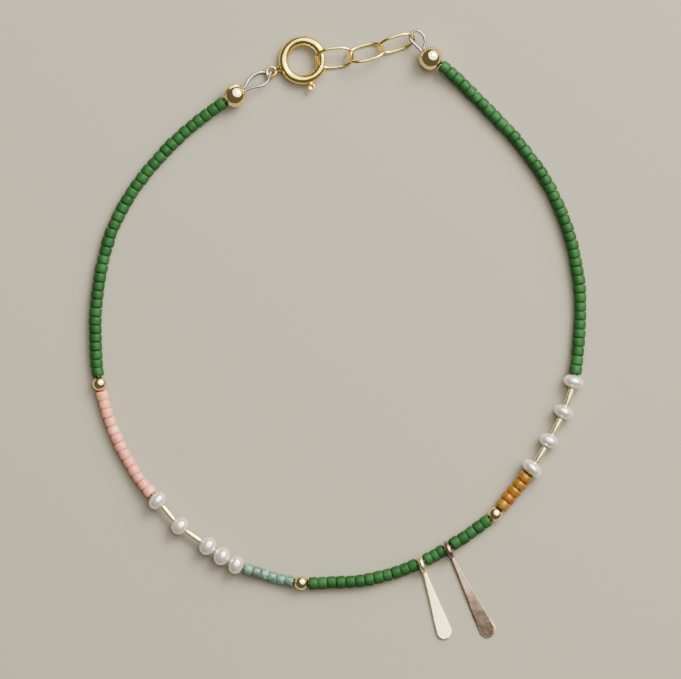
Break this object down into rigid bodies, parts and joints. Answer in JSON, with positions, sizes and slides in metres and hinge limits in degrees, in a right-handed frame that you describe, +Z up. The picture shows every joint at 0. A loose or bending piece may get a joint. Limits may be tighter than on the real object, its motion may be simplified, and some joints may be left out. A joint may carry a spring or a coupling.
{
  "type": "seed bead bracelet",
  "caption": "Thin closed bracelet of seed beads, small pearls, metal tubes and beads, with two flat paddle drops, a short oval chain and a spring ring clasp, lying flat.",
  "frame": {"origin": "middle of the footprint, on the surface that the bracelet lies on", "axes": "+Y across the loop towards the clasp, +X across the loop towards the right crimp cover's side, +Z up from the surface"},
  "size_m": [0.0622, 0.0762, 0.003],
  "materials": {
    "gold": "polished pale gold plate",
    "rose_gold": "satin rose gold, lightly planished",
    "beading_wire": "coated fine cable",
    "green_glass": "opaque frosted glass",
    "pink_glass": "opaque satin glass",
    "teal_glass": "opaque mottled glass",
    "amber_glass": "clear glossy glass",
    "pearl": "nacre"
  },
  "bodies": {
    "strand": {"spring_ring": "gold", "chain_link_1": "gold", "chain_link_2": "gold", "chain_link_3": "gold", "crimp_cover_left": "gold", "crimp_cover_right": "gold", "gold_bead_left": "gold", "gold_bead_bottom": "gold", "gold_bead_right": "gold", "gold_tube_1": "gold", "gold_tube_2": "gold", "gold_tube_3": "gold", "gold_tube_4": "gold", "gold_tube_5": "gold", "drop_short": "gold", "drop_long": "rose_gold", "wire_loop_left": "beading_wire", "wire_loop_right": "beading_wire", "green_left": "green_glass", "green_bottom": "green_glass", "green_between": "green_glass", "green_beside": "green_glass", "green_right": "green_glass", "pink": "pink_glass", "teal": "teal_glass", "amber": "amber_glass", "pearl_1": "pearl", "pearl_2": "pearl", "pearl_3": "pearl", "pearl_4": "pearl", "pearl_5": "pearl", "pearl_6": "pearl", "pearl_7": "pearl", "pearl_8": "pearl", "pearl_9": "pearl"},
    "trigger": {"clasp_trigger": "gold"}
  },
  "joints": [
    {"name": "trigger_slide", "type": "hinge", "parent": "strand", "child": "trigger", "pos_m": [-0.00436, 0.0343, 0.001], "axis": [0.0925, -0.0025, -0.9957], "range_deg": [0, 42], "stiffness_Nm_per_rad": 0.002, "springref_deg": -17.19}
  ]
}
